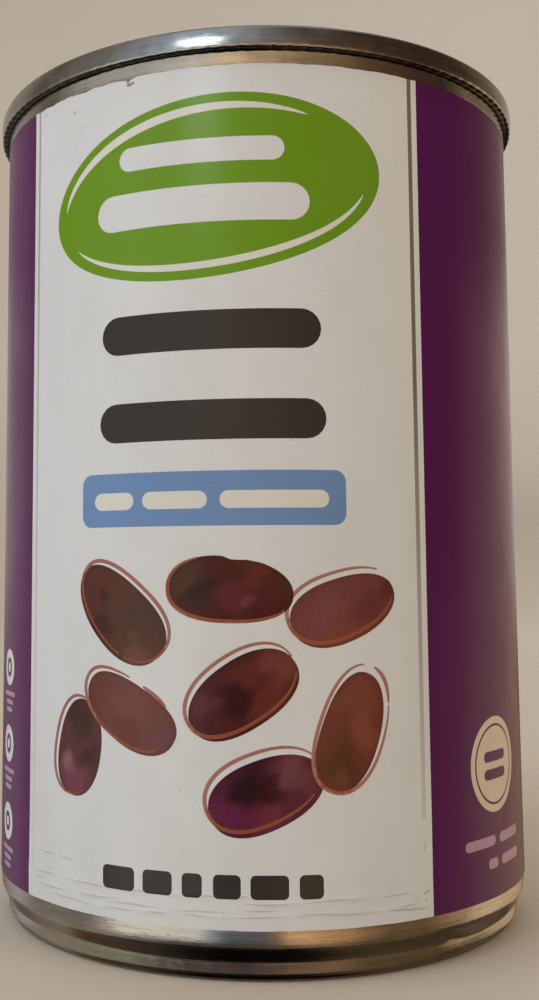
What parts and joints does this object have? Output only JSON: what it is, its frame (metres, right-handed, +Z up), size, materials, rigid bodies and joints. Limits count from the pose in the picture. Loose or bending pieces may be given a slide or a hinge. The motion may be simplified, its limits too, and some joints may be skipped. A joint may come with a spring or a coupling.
{
  "type": "canned beans",
  "caption": "Round steel food can, shut, with a double-seamed ribbed top end, a necked foot and a wrapped paper label printed with beans.",
  "frame": {"origin": "on the can's axis, at the plane that its foot stands on", "axes": "+Z up along the can's axis; the label's front panel faces -Y and its lap is at the back, +Y"},
  "size_m": [0.0762, 0.0762, 0.1127],
  "materials": {
    "body_steel": "bright tinplate with a faint brown cast",
    "lid_steel": "tinplate, slightly dulled and scuffed on the seam",
    "label_paper": "coated paper with a soft gloss, printed purple with a white front panel"
  },
  "bodies": {
    "root": {"can_body": "body_steel", "top_end": "lid_steel", "label": "label_paper"}
  },
  "joints": []
}
